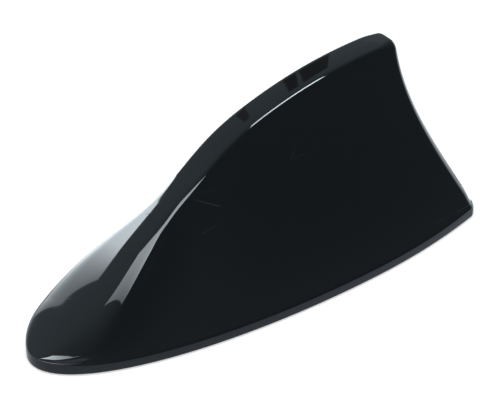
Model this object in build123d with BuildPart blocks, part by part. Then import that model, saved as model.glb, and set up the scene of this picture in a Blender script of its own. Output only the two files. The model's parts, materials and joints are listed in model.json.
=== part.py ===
from build123d import *
import math
import os

# Overall sizes of the fin, in millimetres. Distances run back from the nose tip.
length = 160.0
width = 64.6
height = 63.7
widest_from_nose = 111.4
tail_width = 54.2
tail_bulge = 1.5
tail_corner_radius = 4.0
inner_corner_radius = 1.0
apex_from_nose = 141.0

# Ridge line between the nose and the apex, as shares of its run and rise
ridge_shape = [
    (0.027, 0.083),
    (0.098, 0.185),
    (0.205, 0.349),
    (0.313, 0.505),
    (0.406, 0.645),
    (0.506, 0.806),
    (0.635, 0.922),
    (0.793, 0.992),
]

# Cross-section of the fin, at its nose and behind it
ridge_half_width = 4.6
crown_radius = 60.0
nose_cap_share = 0.87
nose_blend = 55.0
flank_angle_nose = 62.7
flank_angle = 77.7
foot_angle_nose = 48.0
foot_angle = 42.0
shoulder_nose = 6.0
shoulder = 1.1
shoulder_blend = 68.0
flank_pull_share = 0.38
foot_pull_share = 0.30
section_count = 16
section_crowding_power = 1.7

# Tail face in side view, from the apex down to the tail's foot
tail_lean = 2.0
tail_upper_drop = 23.4
tail_lower_run = 6.6
tail_lower_rise = 18.6
tail_skirt = 1.9

# Walls and rim of the fin cover
rim_gap = 0.6
rim_height = 4.0
rim_ledge = 1.5
rim_rounding = 1.2
rim_wall = 2.6
flank_wall = 2.2
roof_wall = 2.6
cavity_start = 8.0

# Base plate, seal and roof pad
fit_gap = 0.3
base_thickness = 2.4
pad_thickness = 1.2
pad_setback = 0.4
pad_width = 5.5
seal_width = 2.0
lip_thickness = 1.4
lip_play = 0.1
rib_thickness = 1.2
rib_height = 3.0
rib_spacing = 18.0
rib_start = 26.0
rib_length = 26.0

# Screws that hold the cover to the base plate
front_screw_from_nose = 20.0
middle_screw_from_board = 8.0
rear_screw_from_tail = 26.0
screw_inset = 12.5
base_boss_radius = 4.5
base_boss_height = 2.4
cover_boss_radius = 3.2
cover_screw_radius = 1.3
cover_screw_bite = 6.0
cover_head_radius = 2.7
cover_head_height = 1.8
head_floor = 2.6
head_play = 0.4
shank_play = 0.3
thread_gap = 0.02
tip_room = 0.5
recess_width = 0.7
recess_depth = 0.9

# Grommet that the lead leaves by
grommet_clearance = 4.35
lead_bore_radius = 2.2
grommet_neck_radius = 5.0
grommet_flange_radius = 6.4
grommet_flange = 0.8
grommet_collar = 1.4
grommet_nose_radius = 3.4
grommet_nose = 3.0

# Amplifier board and what holds it
board_behind_middle = 9.0
board_length = 54.0
board_width = 30.0
board_thickness = 1.6
board_corner_radius = 2.0
board_hole_inset = 3.5
standoff_radius = 2.8
standoff_height = 4.4
board_screw_radius = 1.0
board_screw_bite = 3.4
board_head_radius = 1.9
board_head_height = 1.4
ground_sheet = 0.5
ground_margin = 1.0
ground_setback = 1.0
ground_tab_width = 5.0

# Parts on the board
shield_from_board_end = 4.0
shield_length = 22.0
shield_width = 17.0
shield_height = 5.0
shield_sheet = 0.5
shield_play = 0.05
shield_skirt = 2.5
chip_length = 5.0
chip_width = 4.0
chip_height = 1.5
chip_lead_width = 0.4
chip_lead_reach = 1.0
chip_lead_thickness = 0.25
chip_lead_pitch = 1.27
chip_leads = 3
passive_length = 2.0
passive_width = 1.25
passive_height = 0.9
choke_radius = 4.0
choke_waist_radius = 2.6
choke_flange = 1.2
choke_height = 6.5
can_radius = 3.15
can_height = 6.0
can_foot = 0.9
can_groove = 0.35
tall_parts_spread = 12.0
tall_parts_from_coil = 9.0
loose_passive_setback = 5.0

# Aerial element and its holder
holder_thickness = 3.0
foot_thickness = 2.0
foot_length = 14.0
foot_width = 10.0
leg_width = 5.0
front_leg_clearance = 5.5
rear_leg_clearance = 3.5
rear_leg_overhang = 2.5
leg_shoulder_drop = 19.0
arch_band = 8.0
arch_radius = 5.0
holder_screw_radius = 1.3
holder_screw_bite = 3.6
holder_head_radius = 2.4
holder_head_height = 1.5
plate_from_coil = 12.0
plate_length = 40.0
plate_sheet = 0.5
plate_top_half_width = 2.5
plate_drop = 9.0
plate_headroom = 3.4
stake_radius = 0.9
stake_head_radius = 1.6
stake_head_height = 0.7
stake_play = 0.1
stake_inset = 6.0
coil_from_board_end = 32.0
former_radius = 3.5
former_wall = 1.2
former_flange = 1.0
wire_radius = 0.5
wire_gap = 0.05
coil_pitch = 3.0
coil_turn_count = 7
coil_headroom = 1.5
tab_width = 4.0
tab_reach = 3.5
tab_gap = 0.1
terminal_foot = 4.0
terminal_lap = 3.0

# Levels, up from the roof
rim_top = rim_gap + rim_height
base_bottom = pad_thickness
base_top = base_bottom + base_thickness
boss_top = base_top + base_boss_height
board_bottom = base_top + standoff_height
board_top = board_bottom + board_thickness
foot_top = boss_top + foot_thickness
head_seat = boss_top - head_floor

# Places in plan, the board midway between the front screw and the tail but for an offset
board_middle = (front_screw_from_nose + length) / 2 + board_behind_middle
board_from_nose = board_middle - board_length / 2
middle_screw_from_nose = board_from_nose - middle_screw_from_board
front_leg_from_nose = board_from_nose - front_leg_clearance - leg_width
rear_leg_from_nose = board_from_nose + board_length + rear_leg_clearance
foot_toe = 0.75 * (foot_length - leg_width)
front_toe = front_leg_from_nose - foot_toe
rear_toe = rear_leg_from_nose + leg_width + foot_toe
grommet_from_nose = front_toe - grommet_clearance - grommet_flange_radius
coil_from_nose = board_from_nose + coil_from_board_end
plate_from_nose = coil_from_nose - plate_from_coil
nose_x = -length / 2
tail_foot = length - tail_bulge - rim_ledge
base_inset = rim_wall + fit_gap
lip_inset = base_inset + seal_width + lip_play
side_radius = ((length - tail_bulge - widest_from_nose) ** 2 + (width / 2 - tail_width / 2) ** 2) / (
    width - tail_width
)


def along(distance):
    """X of a place given by its distance back from the nose tip."""
    return nose_x + distance


def half_width(distance, inset=0.0):
    """Half width of the plan outline, or of the outline moved in by an inset."""
    run = distance - widest_from_nose
    reach = width / 2 - inset
    if run <= 0:
        return reach * math.sqrt(max(0.0, 1 - (run / (widest_from_nose - inset)) ** 2))
    radius = side_radius - inset
    return reach - radius + math.sqrt(radius**2 - run**2)


def plan_outline(inset, level):
    """Plan outline as a face: an elliptical nose, bowed sides and a shallow tail."""
    corner_from_nose = length - tail_bulge - inset
    widest = (along(widest_from_nose), width / 2 - inset)
    corner = (along(corner_from_nose), half_width(corner_from_nose, inset))
    tail = (along(length - inset), 0)
    with BuildSketch(Plane.XY.offset(level)) as outline:
        with BuildLine():
            EllipticalCenterArc(
                (along(widest_from_nose), 0),
                widest_from_nose - inset,
                width / 2 - inset,
                start_angle=90,
                arc_size=180,
            )
            TangentArc(widest, corner, tangent=(1, 0))
            ThreePointArc(corner, tail, (corner[0], -corner[1]))
            TangentArc((widest[0], -widest[1]), (corner[0], -corner[1]), tangent=(1, 0))
        make_face()
        rear_corners = outline.vertices().group_by(Axis.X)[-1]
        fillet(rear_corners, max(tail_corner_radius - inset, inner_corner_radius))
    return outline.sketch


# Ridge line in side view, from the rim at the nose to the apex
ridge_run = apex_from_nose - rim_ledge
ridge_rise = height - rim_top
ridge_points = [(rim_ledge, rim_top)]
ridge_points += [(rim_ledge + a * ridge_run, rim_top + b * ridge_rise) for a, b in ridge_shape]
ridge_points += [(apex_from_nose, height)]
with BuildLine() as ridge_line:
    Spline(*ridge_points)


def ridge_height(distance):
    """Height of the ridge at a distance from the nose, level behind the apex."""
    if distance >= apex_from_nose:
        return height
    low, high = 0.0, 1.0
    for _ in range(40):
        middle = (low + high) / 2
        if (ridge_line.line @ middle).X < distance:
            low = middle
        else:
            high = middle
    return (ridge_line.line @ low).Y


def blend(nose_value, plain_value, distance, reach=nose_blend):
    """Nose value at the nose tip, fading smoothly to the plain value at the end of its reach."""
    share = min(max(distance / reach, 0.0), 1.0)
    share = share * share * (3 - 2 * share)
    return nose_value * (1 - share) + plain_value * share


def section_points(distance, side_wall=0.0, top_wall=0.0):
    """Control points of half a cross-section: crown's middle, then the shoulder, then the flank."""
    top = ridge_height(distance) - top_wall
    outer_foot = half_width(distance, rim_ledge)
    lean = math.radians(blend(flank_angle_nose, flank_angle, distance))
    flare = math.radians(blend(foot_angle_nose, foot_angle, distance))
    foot = outer_foot - side_wall / math.sin(flare)
    corner = blend(nose_cap_share * outer_foot, ridge_half_width, distance)
    corner += top_wall / math.tan(lean) - side_wall / math.sin(lean)
    chord = math.hypot(foot - corner, top - rim_top)
    setback = min(blend(shoulder_nose, shoulder, distance, shoulder_blend), 0.8 * corner, 0.5 * chord)
    crown_edge = corner - setback
    crown_drop = crown_edge**2 / (2 * crown_radius)
    crown = (0, top + crown_drop)
    start = (crown_edge, top - crown_drop)
    bend = (corner, start[1] - crown_edge / crown_radius * setback)
    end = (corner + setback * math.cos(lean), bend[1] - setback * math.sin(lean))
    reach = math.hypot(foot - end[0], end[1] - rim_top)
    pull_reach = flank_pull_share * reach
    push_reach = foot_pull_share * reach
    pull = (end[0] + pull_reach * math.cos(lean), end[1] - pull_reach * math.sin(lean))
    push = (foot - push_reach * math.cos(flare), rim_top + push_reach * math.sin(flare))
    return crown, start, bend, end, pull, push, (foot, rim_top)


def mirrored(points):
    return [(-y, z) for y, z in points]


def fin_section(distance, side_wall=0.0, top_wall=0.0):
    """Cross-section of the fin, or of its cavity, standing on the rim's top."""
    points = section_points(distance, side_wall, top_wall)
    crown, start, foot = points[0], points[1], points[-1]
    with BuildSketch(Plane.YZ.offset(along(distance))) as section:
        with BuildLine():
            Bezier((-start[0], start[1]), crown, start)
            Bezier(*points[1:4])
            Bezier(*points[3:])
            Line(foot, (-foot[0], foot[1]))
            Bezier(*mirrored(points[3:]))
            Bezier(*mirrored(points[1:4]))
        make_face()
    return section.sketch


def section_places(first, last):
    """Distances of the sections, crowded towards the nose."""
    shares = [(i / section_count) ** section_crowding_power for i in range(section_count + 1)]
    return [first + (last - first) * share for share in shares]


def behind_tail(wall):
    """Region behind the tail face in side view, or behind its inner face."""
    apex = (along(apex_from_nose - wall), height)
    foot = (along(tail_foot - wall), rim_top + tail_skirt)
    back = along(length + tail_corner_radius)
    above = height + tail_corner_radius
    with BuildSketch(Plane.XZ.offset(-width)) as region:
        with BuildLine():
            Bezier(
                apex,
                (apex[0] - tail_lean, apex[1] - tail_upper_drop),
                (foot[0] - tail_lower_run, foot[1] + tail_lower_rise),
                foot,
            )
            Polyline(foot, (foot[0], rim_top), (back, rim_top), (back, above), (apex[0], above), apex)
        make_face()
    return region.sketch


def disc(radius, level, places):
    """Discs of one radius at several places in plan."""
    with BuildSketch(Plane.XY.offset(level)) as discs:
        with Locations(*places):
            Circle(radius)
    return discs.sketch


def panel(x_size, y_size, level, places):
    """Rectangles of one size, centred at several places in plan."""
    with BuildSketch(Plane.XY.offset(level)) as panels:
        with Locations(*places):
            Rectangle(x_size, y_size)
    return panels.sketch


# Screw places in plan
cover_screw_places = [(along(front_screw_from_nose), 0)]
for distance in (middle_screw_from_nose, length - rear_screw_from_tail):
    side = half_width(distance, screw_inset)
    cover_screw_places += [(along(distance), side), (along(distance), -side)]
board_x = along(board_middle)
board_hole_x = board_length / 2 - board_hole_inset
board_hole_y = board_width / 2 - board_hole_inset
board_screw_places = [(board_x + i * board_hole_x, j * board_hole_y) for i in (-1, 1) for j in (-1, 1)]
foot_places = [(along(front_toe + foot_length / 2), 0), (along(rear_toe - foot_length / 2), 0)]
holder_screw_places = [(along(front_toe + foot_toe / 2), 0), (along(rear_toe - foot_toe / 2), 0)]
grommet_place = (along(grommet_from_nose), 0)

# Outside of the fin, solid, with its rim
with BuildPart() as fin_body:
    extrude(plan_outline(0, rim_gap), amount=rim_height)
    fillet(fin_body.edges().group_by(Axis.Z)[-1], rim_rounding)
    nose_tip = Vertex(along(rim_ledge), 0, rim_top)
    loft([nose_tip] + [fin_section(d) for d in section_places(rim_ledge, length)[1:]])
    extrude(behind_tail(0), amount=2 * width, mode=Mode.SUBTRACT)

# Bosses inside the fin that the cover screws bite in
with BuildPart() as cover_bosses:
    extrude(disc(cover_boss_radius, boss_top, cover_screw_places), amount=height)
    add(fin_body.part, mode=Mode.INTERSECT)

# Hollow of the fin above its rim
with BuildPart() as cavity:
    loft([fin_section(d, flank_wall, roof_wall) for d in section_places(cavity_start, length)])
    extrude(behind_tail(roof_wall), amount=2 * width, mode=Mode.SUBTRACT)

# Fin cover: the moulded glossy housing
with BuildPart() as fin_cover:
    add(fin_body.part)
    extrude(plan_outline(rim_wall, rim_gap), amount=rim_height, mode=Mode.SUBTRACT)
    add(cavity.part, mode=Mode.SUBTRACT)
    add(cover_bosses.part)
    pilot_depth = cover_screw_bite + tip_room
    extrude(
        disc(cover_screw_radius + thread_gap, boss_top, cover_screw_places),
        amount=pilot_depth,
        mode=Mode.SUBTRACT,
    )


def cut_cross(places, level, span, depth):
    """Cuts a cross recess into screw heads, from a level and along a signed depth."""
    extrude(panel(span, recess_width, level, places), amount=depth, mode=Mode.SUBTRACT)
    extrude(panel(recess_width, span, level, places), amount=depth, mode=Mode.SUBTRACT)


# Base plate that closes the fin from below, with its bosses, pads and standoffs
with BuildPart() as base_plate:
    extrude(plan_outline(base_inset, base_bottom), amount=base_thickness)
    lip_height = rim_top - base_top - lip_play
    extrude(plan_outline(lip_inset, base_top), amount=lip_height)
    extrude(plan_outline(lip_inset + lip_thickness, base_top), amount=lip_height, mode=Mode.SUBTRACT)
    extrude(disc(base_boss_radius, base_top, cover_screw_places), amount=base_boss_height)
    extrude(panel(foot_length, foot_width, base_top, foot_places), amount=base_boss_height)
    extrude(disc(standoff_radius, base_top, board_screw_places), amount=standoff_height)
    rib_x = along(rib_start + rib_length / 2)
    rib_places = [(rib_x, rib_spacing / 2), (rib_x, -rib_spacing / 2)]
    extrude(panel(rib_length, rib_thickness, base_top, rib_places), amount=rib_height)
    shank_hole = cover_screw_radius + shank_play
    extrude(disc(shank_hole, base_bottom, cover_screw_places), amount=boss_top, mode=Mode.SUBTRACT)
    extrude(
        disc(cover_head_radius + head_play, base_bottom, cover_screw_places),
        amount=head_seat - base_bottom,
        mode=Mode.SUBTRACT,
    )
    extrude(
        disc(grommet_neck_radius, base_bottom, [grommet_place]),
        amount=base_thickness,
        mode=Mode.SUBTRACT,
    )
    extrude(
        disc(holder_screw_radius + thread_gap, boss_top, holder_screw_places),
        amount=-(holder_screw_bite + tip_room),
        mode=Mode.SUBTRACT,
    )
    extrude(
        disc(board_screw_radius + thread_gap, board_bottom, board_screw_places),
        amount=-(board_screw_bite + tip_room),
        mode=Mode.SUBTRACT,
    )

# Rubber ring squeezed between the fin's ledge and the base plate
with BuildPart() as cover_seal:
    seal_height = rim_top - base_top
    extrude(plan_outline(base_inset, base_top), amount=seal_height)
    extrude(plan_outline(base_inset + seal_width, base_top), amount=seal_height, mode=Mode.SUBTRACT)

# Adhesive foam ring that the aerial stands on
with BuildPart() as roof_pad:
    pad_inset = base_inset + pad_setback
    extrude(plan_outline(pad_inset, 0), amount=pad_thickness)
    extrude(plan_outline(pad_inset + pad_width, 0), amount=pad_thickness, mode=Mode.SUBTRACT)

# Rubber grommet for the lead, gripping the base plate on both sides
with BuildPart() as lead_grommet:
    collar_top = base_top + grommet_collar
    with BuildSketch(Plane(origin=(*grommet_place, 0), z_dir=(0, -1, 0), x_dir=(1, 0, 0))):
        with BuildLine():
            Polyline(
                (lead_bore_radius, base_bottom - grommet_flange),
                (grommet_flange_radius, base_bottom - grommet_flange),
                (grommet_flange_radius, base_bottom),
                (grommet_neck_radius, base_bottom),
                (grommet_neck_radius, base_top),
                (grommet_flange_radius, base_top),
                (grommet_flange_radius, collar_top),
                (grommet_nose_radius, collar_top + grommet_nose),
                (lead_bore_radius, collar_top + grommet_nose),
                close=True,
            )
        make_face()
    revolve(axis=Axis((*grommet_place, 0), (0, 0, 1)))

# Counterpoise sheet under the board, with a tab lanced up to it
with BuildPart() as ground_plate:
    ground_length = board_length + 2 * ground_margin
    ground_width = board_width - 2 * ground_setback
    extrude(panel(ground_length, ground_width, base_top, [(board_x, 0)]), amount=ground_sheet)
    extrude(
        disc(standoff_radius + fit_gap, base_top, board_screw_places),
        amount=ground_sheet,
        mode=Mode.SUBTRACT,
    )
    window_y = board_width / 4
    tab_y = window_y - standoff_height / 2 - ground_sheet / 2
    extrude(
        panel(ground_tab_width, standoff_height, base_top, [(board_x, window_y)]),
        amount=ground_sheet,
        mode=Mode.SUBTRACT,
    )
    extrude(panel(ground_tab_width, ground_sheet, base_top, [(board_x, tab_y)]), amount=standoff_height)

# Amplifier board
with BuildPart() as amplifier_board:
    with BuildSketch(Plane.XY.offset(board_bottom)) as board_outline:
        with Locations((board_x, 0)):
            RectangleRounded(board_length, board_width, board_corner_radius)
        with Locations(*board_screw_places):
            Circle(board_screw_radius + shank_play, mode=Mode.SUBTRACT)
    extrude(amount=board_thickness)

# Screening can: a folded frame on the board and a lid pressed over it
shield_x = along(board_from_nose + shield_from_board_end + shield_length / 2)
shield_top = board_top + shield_height
with BuildPart() as shield_frame:
    extrude(panel(shield_length, shield_width, board_top, [(shield_x, 0)]), amount=shield_height)
    extrude(
        panel(shield_length - 2 * shield_sheet, shield_width - 2 * shield_sheet, board_top, [(shield_x, 0)]),
        amount=shield_height,
        mode=Mode.SUBTRACT,
    )

with BuildPart() as shield_lid:
    mouth_length = shield_length + 2 * shield_play
    mouth_width = shield_width + 2 * shield_play
    skirt_bottom = shield_top - shield_skirt
    extrude(
        panel(mouth_length + 2 * shield_sheet, mouth_width + 2 * shield_sheet, skirt_bottom, [(shield_x, 0)]),
        amount=shield_skirt + shield_sheet,
    )
    extrude(
        panel(mouth_length, mouth_width, skirt_bottom, [(shield_x, 0)]),
        amount=shield_skirt,
        mode=Mode.SUBTRACT,
    )

# Amplifier chip with its leads, and the small parts round it
with BuildPart() as amplifier_chip:
    extrude(panel(chip_length, chip_width, board_top, [(shield_x, 0)]), amount=chip_height)
    lead_places = [(shield_x + (i - (chip_leads - 1) / 2) * chip_lead_pitch, 0) for i in range(chip_leads)]
    lead_span = chip_width + 2 * chip_lead_reach
    extrude(panel(chip_lead_width, lead_span, board_top, lead_places), amount=chip_lead_thickness)

with BuildPart() as chip_parts:
    beside_chip = (chip_length / 2 + shield_length / 2) / 2
    across_chip = shield_width / 4
    passive_places = [(shield_x + i * beside_chip, j * across_chip) for i in (-1, 1) for j in (-1, 1)]
    passive_places += [(along(coil_from_nose + tall_parts_from_coil + loose_passive_setback), 0)]
    extrude(panel(passive_length, passive_width, board_top, passive_places), amount=passive_height)

# Drum choke and electrolytic can behind the coil, turned about upright axes
tall_x = along(coil_from_nose + tall_parts_from_coil)
with BuildPart() as output_choke:
    choke_place = (tall_x, tall_parts_spread / 2)
    extrude(disc(choke_waist_radius, board_top, [choke_place]), amount=choke_height)
    extrude(disc(choke_radius, board_top, [choke_place]), amount=choke_flange)
    extrude(disc(choke_radius, board_top + choke_height - choke_flange, [choke_place]), amount=choke_flange)

with BuildPart() as supply_capacitor:
    can_place = (tall_x, -tall_parts_spread / 2)
    extrude(panel(2 * can_radius, 2 * can_radius, board_top, [can_place]), amount=can_foot)
    chamfer(supply_capacitor.edges().filter_by(Axis.Z).group_by(Axis.X)[-1], can_radius / 4)
    can_bottom = board_top + can_foot
    extrude(disc(can_radius - can_groove, can_bottom, [can_place]), amount=2 * can_groove)
    extrude(disc(can_radius, can_bottom + 2 * can_groove, [can_place]), amount=can_height - 2 * can_groove)
    fillet(supply_capacitor.edges().group_by(Axis.Z)[-1], can_groove)

# Levels and radii of the element
plate_top = ridge_height(plate_from_nose) - roof_wall - plate_headroom
plate_bottom = plate_top - plate_drop
holder_top = plate_top - plate_sheet
coil_radius = former_radius + wire_gap + wire_radius
coil_top = plate_bottom - coil_headroom
coil_bottom = coil_top - coil_turn_count * coil_pitch
tab_inner = coil_radius + wire_radius + tab_gap
tab_outer = tab_inner + plate_sheet
coil_x = along(coil_from_nose)
stake_places = [
    (along(plate_from_nose + stake_inset), 0),
    (along(plate_from_nose + plate_length - stake_inset), 0),
]

# Element holder: a thin arch over the board, on two feet, with the coil's former
with BuildPart() as element_holder:
    rear_leg_end = rear_leg_from_nose + leg_width
    rear_top_end = plate_from_nose + plate_length + rear_leg_overhang
    front_leg_end = front_leg_from_nose + leg_width
    slope = leg_shoulder_drop / (plate_from_nose - front_leg_from_nose)
    band_drop = arch_band * math.hypot(1, slope)
    front_top = holder_top - leg_shoulder_drop
    arch_top = holder_top - arch_band
    arch_bend = plate_from_nose + (band_drop - arch_band) / slope
    with BuildSketch(Plane.XZ.offset(-holder_thickness / 2)) as arch:
        with BuildLine():
            Polyline(
                (along(front_leg_from_nose), boss_top),
                (along(front_leg_from_nose), front_top),
                (along(plate_from_nose), holder_top),
                (along(rear_top_end), holder_top),
                (along(rear_leg_end), boss_top),
                (along(rear_leg_from_nose), boss_top),
                (along(rear_top_end - leg_width), arch_top),
                (along(arch_bend), arch_top),
                (along(front_leg_end), front_top + slope * leg_width - band_drop),
                (along(front_leg_end), boss_top),
                close=True,
            )
        make_face()
        fillet(arch.vertices().group_by(Axis.Y)[1:], arch_radius)
    extrude(amount=holder_thickness)
    extrude(panel(foot_length, foot_width, boss_top, foot_places), amount=foot_thickness)
    extrude(
        disc(holder_screw_radius + shank_play, boss_top, holder_screw_places),
        amount=foot_thickness,
        mode=Mode.SUBTRACT,
    )
    flange_top = coil_bottom - wire_radius - wire_gap
    former_bottom = flange_top - former_flange
    former_length = arch_top + former_flange - former_bottom
    extrude(disc(former_radius, former_bottom, [(coil_x, 0)]), amount=former_length)
    extrude(disc(coil_radius, former_bottom, [(coil_x, 0)]), amount=former_flange)
    extrude(
        disc(former_radius - former_wall, former_bottom, [(coil_x, 0)]),
        amount=arch_top - former_bottom,
        mode=Mode.SUBTRACT,
    )
    extrude(disc(stake_radius, holder_top, stake_places), amount=plate_sheet)
    extrude(disc(stake_head_radius, plate_top, stake_places), amount=stake_head_height)

# Top of the element: a sheet folded over the holder, with a tab down to the coil
with BuildPart() as top_load_plate:
    lean_out = (tab_outer - plate_top_half_width) / plate_drop
    across = plate_sheet * math.hypot(1, lean_out)
    crease = plate_top_half_width + lean_out * plate_sheet - across
    with BuildSketch(Plane.YZ.offset(along(plate_from_nose))) as fold:
        with BuildLine():
            half_fold = [
                (plate_top_half_width, plate_top),
                (tab_outer, plate_bottom),
                (tab_outer - across, plate_bottom),
                (crease, holder_top),
            ]
            Polyline(*half_fold, *reversed(mirrored(half_fold)), close=True)
        make_face()
    extrude(amount=plate_length)
    extrude(disc(stake_radius + stake_play, holder_top, stake_places), amount=plate_sheet, mode=Mode.SUBTRACT)
    tab_place = (coil_x, (tab_inner + tab_outer) / 2)
    extrude(panel(tab_width, plate_sheet, plate_bottom - tab_reach, [tab_place]), amount=tab_reach)

# Loading coil wound on the former
with BuildPart() as loading_coil:
    with BuildLine() as wire:
        Helix(coil_pitch, coil_turn_count * coil_pitch, coil_radius, center=(coil_x, 0, coil_bottom))
    with BuildSketch(Plane(origin=wire.line @ 0, z_dir=wire.line % 0)):
        RegularPolygon(wire_radius, 6)
    sweep(path=wire.line, is_frenet=True)

# Strip from the board up to the coil's lower end
with BuildPart() as feed_terminal:
    strip_height = coil_bottom + terminal_lap - board_top
    extrude(panel(tab_width, plate_sheet, board_top, [tab_place]), amount=strip_height)
    foot_y = tab_inner + terminal_foot / 2
    extrude(panel(tab_width, terminal_foot, board_top, [(coil_x, foot_y)]), amount=plate_sheet)

# Screws that hold the cover, from below
with BuildPart() as cover_screws:
    extrude(disc(cover_screw_radius, head_seat, cover_screw_places), amount=head_floor + cover_screw_bite)
    extrude(disc(cover_head_radius, head_seat, cover_screw_places), amount=-cover_head_height)
    cut_cross(cover_screw_places, head_seat - cover_head_height, 1.2 * cover_head_radius, recess_depth)

# Screws that hold the board
with BuildPart() as board_screws:
    board_shank = board_thickness + board_screw_bite
    extrude(disc(board_screw_radius, board_top, board_screw_places), amount=-board_shank)
    extrude(disc(board_head_radius, board_top, board_screw_places), amount=board_head_height)
    cut_cross(board_screw_places, board_top + board_head_height, 1.2 * board_head_radius, -recess_depth)

# Screws that hold the element holder's feet
with BuildPart() as holder_screws:
    holder_shank = foot_thickness + holder_screw_bite
    extrude(disc(holder_screw_radius, foot_top, holder_screw_places), amount=-holder_shank)
    extrude(disc(holder_head_radius, foot_top, holder_screw_places), amount=holder_head_height)
    cut_cross(holder_screw_places, foot_top + holder_head_height, 1.2 * holder_head_radius, -recess_depth)

fin_cover.part.label = "fin_cover"
base_plate.part.label = "base_plate"
cover_seal.part.label = "cover_seal"
roof_pad.part.label = "roof_pad"
lead_grommet.part.label = "lead_grommet"
ground_plate.part.label = "ground_plate"
amplifier_board.part.label = "amplifier_board"
shield_frame.part.label = "shield_frame"
shield_lid.part.label = "shield_lid"
amplifier_chip.part.label = "amplifier_chip"
chip_parts.part.label = "chip_parts"
output_choke.part.label = "output_choke"
supply_capacitor.part.label = "supply_capacitor"
element_holder.part.label = "element_holder"
top_load_plate.part.label = "top_load_plate"
loading_coil.part.label = "loading_coil"
feed_terminal.part.label = "feed_terminal"
cover_screws.part.label = "cover_screws"
board_screws.part.label = "board_screws"
holder_screws.part.label = "holder_screws"

os.makedirs("parts", exist_ok=True)
export_step(fin_cover.part, "parts/fin_cover.step")
export_step(base_plate.part, "parts/base_plate.step")
export_step(cover_seal.part, "parts/cover_seal.step")
export_step(roof_pad.part, "parts/roof_pad.step")
export_step(lead_grommet.part, "parts/lead_grommet.step")
export_step(ground_plate.part, "parts/ground_plate.step")
export_step(amplifier_board.part, "parts/amplifier_board.step")
export_step(shield_frame.part, "parts/shield_frame.step")
export_step(shield_lid.part, "parts/shield_lid.step")
export_step(amplifier_chip.part, "parts/amplifier_chip.step")
export_step(chip_parts.part, "parts/chip_parts.step")
export_step(output_choke.part, "parts/output_choke.step")
export_step(supply_capacitor.part, "parts/supply_capacitor.step")
export_step(element_holder.part, "parts/element_holder.step")
export_step(top_load_plate.part, "parts/top_load_plate.step")
export_step(loading_coil.part, "parts/loading_coil.step")
export_step(feed_terminal.part, "parts/feed_terminal.step")
export_step(cover_screws.part, "parts/cover_screws.step")
export_step(board_screws.part, "parts/board_screws.step")
export_step(holder_screws.part, "parts/holder_screws.step")
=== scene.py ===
import json
import math

import bmesh
import bpy
import numpy as np
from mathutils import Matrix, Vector


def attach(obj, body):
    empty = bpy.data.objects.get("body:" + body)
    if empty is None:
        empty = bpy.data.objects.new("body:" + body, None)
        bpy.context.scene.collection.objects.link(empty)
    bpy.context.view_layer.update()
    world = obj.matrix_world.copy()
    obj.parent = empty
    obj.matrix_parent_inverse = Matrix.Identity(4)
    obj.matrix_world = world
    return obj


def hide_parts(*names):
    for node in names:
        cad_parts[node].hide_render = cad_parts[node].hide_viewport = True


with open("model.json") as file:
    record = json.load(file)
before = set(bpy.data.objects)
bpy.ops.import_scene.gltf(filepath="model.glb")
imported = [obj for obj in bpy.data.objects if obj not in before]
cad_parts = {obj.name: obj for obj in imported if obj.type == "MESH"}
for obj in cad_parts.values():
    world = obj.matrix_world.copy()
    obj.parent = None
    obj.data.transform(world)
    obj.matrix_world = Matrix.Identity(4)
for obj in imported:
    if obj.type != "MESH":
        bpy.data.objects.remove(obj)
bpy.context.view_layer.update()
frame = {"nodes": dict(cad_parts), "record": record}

# Metres in a millimetre
MM = 0.001

# Overall sizes of the fin as in the part's source, in millimetres, distances back from the nose tip
LENGTH = 160.0
WIDTH = 64.6
HEIGHT = 63.7
WIDEST = 111.4
TAIL_WIDTH = 54.2
TAIL_BULGE = 1.5
TAIL_CORNER = 4.0
APEX = 141.0

# Ridge line between the nose and the apex, as shares of its run and rise
RIDGE_SHAPE = [
    (0.027, 0.083),
    (0.098, 0.185),
    (0.205, 0.349),
    (0.313, 0.505),
    (0.406, 0.645),
    (0.506, 0.806),
    (0.635, 0.922),
    (0.793, 0.992),
]

# Cross-section of the fin in millimetres, degrees and shares, a pair at its nose and behind it
RIDGE_HALF_WIDTH = 4.6
CROWN_RADIUS = 60.0
NOSE_CAP_SHARE = 0.87
NOSE_BLEND = 55.0
FLANK_ANGLE = (62.7, 77.7)
FOOT_ANGLE = (48.0, 42.0)
SHOULDER = (6.0, 1.1)
SHOULDER_BLEND = 68.0
FLANK_PULL = 0.38
FOOT_PULL = 0.30

# Walls and rim of the fin, in millimetres
RIM_BOTTOM = 0.6
RIM_TOP = 4.6
RIM_LEDGE = 1.5
RIM_WALL = 2.6
FLANK_WALL = 2.2
ROOF_WALL = 2.6
HOLLOW = dict(side_wall=FLANK_WALL, top_wall=ROOF_WALL, inset=RIM_LEDGE)
CAVITY_START = 8.0

# Screw bosses under the fin, in millimetres
NOSE_SCREW = 20.0
SIDE_SCREWS = (64.0, 134.0)
SCREW_INSET = 12.5
BOSS_FOOT = 6.0
BOSS_RADIUS = 3.2
BOSS_BITE = 0.5
PILOT_RADIUS = 1.32
PILOT_DEPTH = 6.5

# Forms that only the dressed fin has, in millimetres, the pair at the tail's foot and at the apex
TAIL_EDGE = (3.0, 2.0)
TAIL_EDGE_FADE = 6.0
TAIL_LEAN = -0.1
TAIL_UPPER_DROP = 21.0
TAIL_LOWER_RUN = 5.0
TAIL_LOWER_RISE = 15.0
TAIL_SKIRT = 3.0
APEX_ROUNDING = 2.0
APEX_REACH = 8.0
SKIN_INSET = 0.5
TAIL_FOOT = LENGTH - TAIL_BULGE - SKIN_INSET
RIM_ROUNDING_DROP = 1.1
NOSE_FLUSH = 30.0
RIM_FOOT_ROUNDING = 0.25

# Most that a shoulder's rounding takes, as shares of the ridge's half width and of the flank's chord
ROUNDING_WIDTH_SHARE = 0.8
ROUNDING_CHORD_SHARE = 0.5

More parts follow.
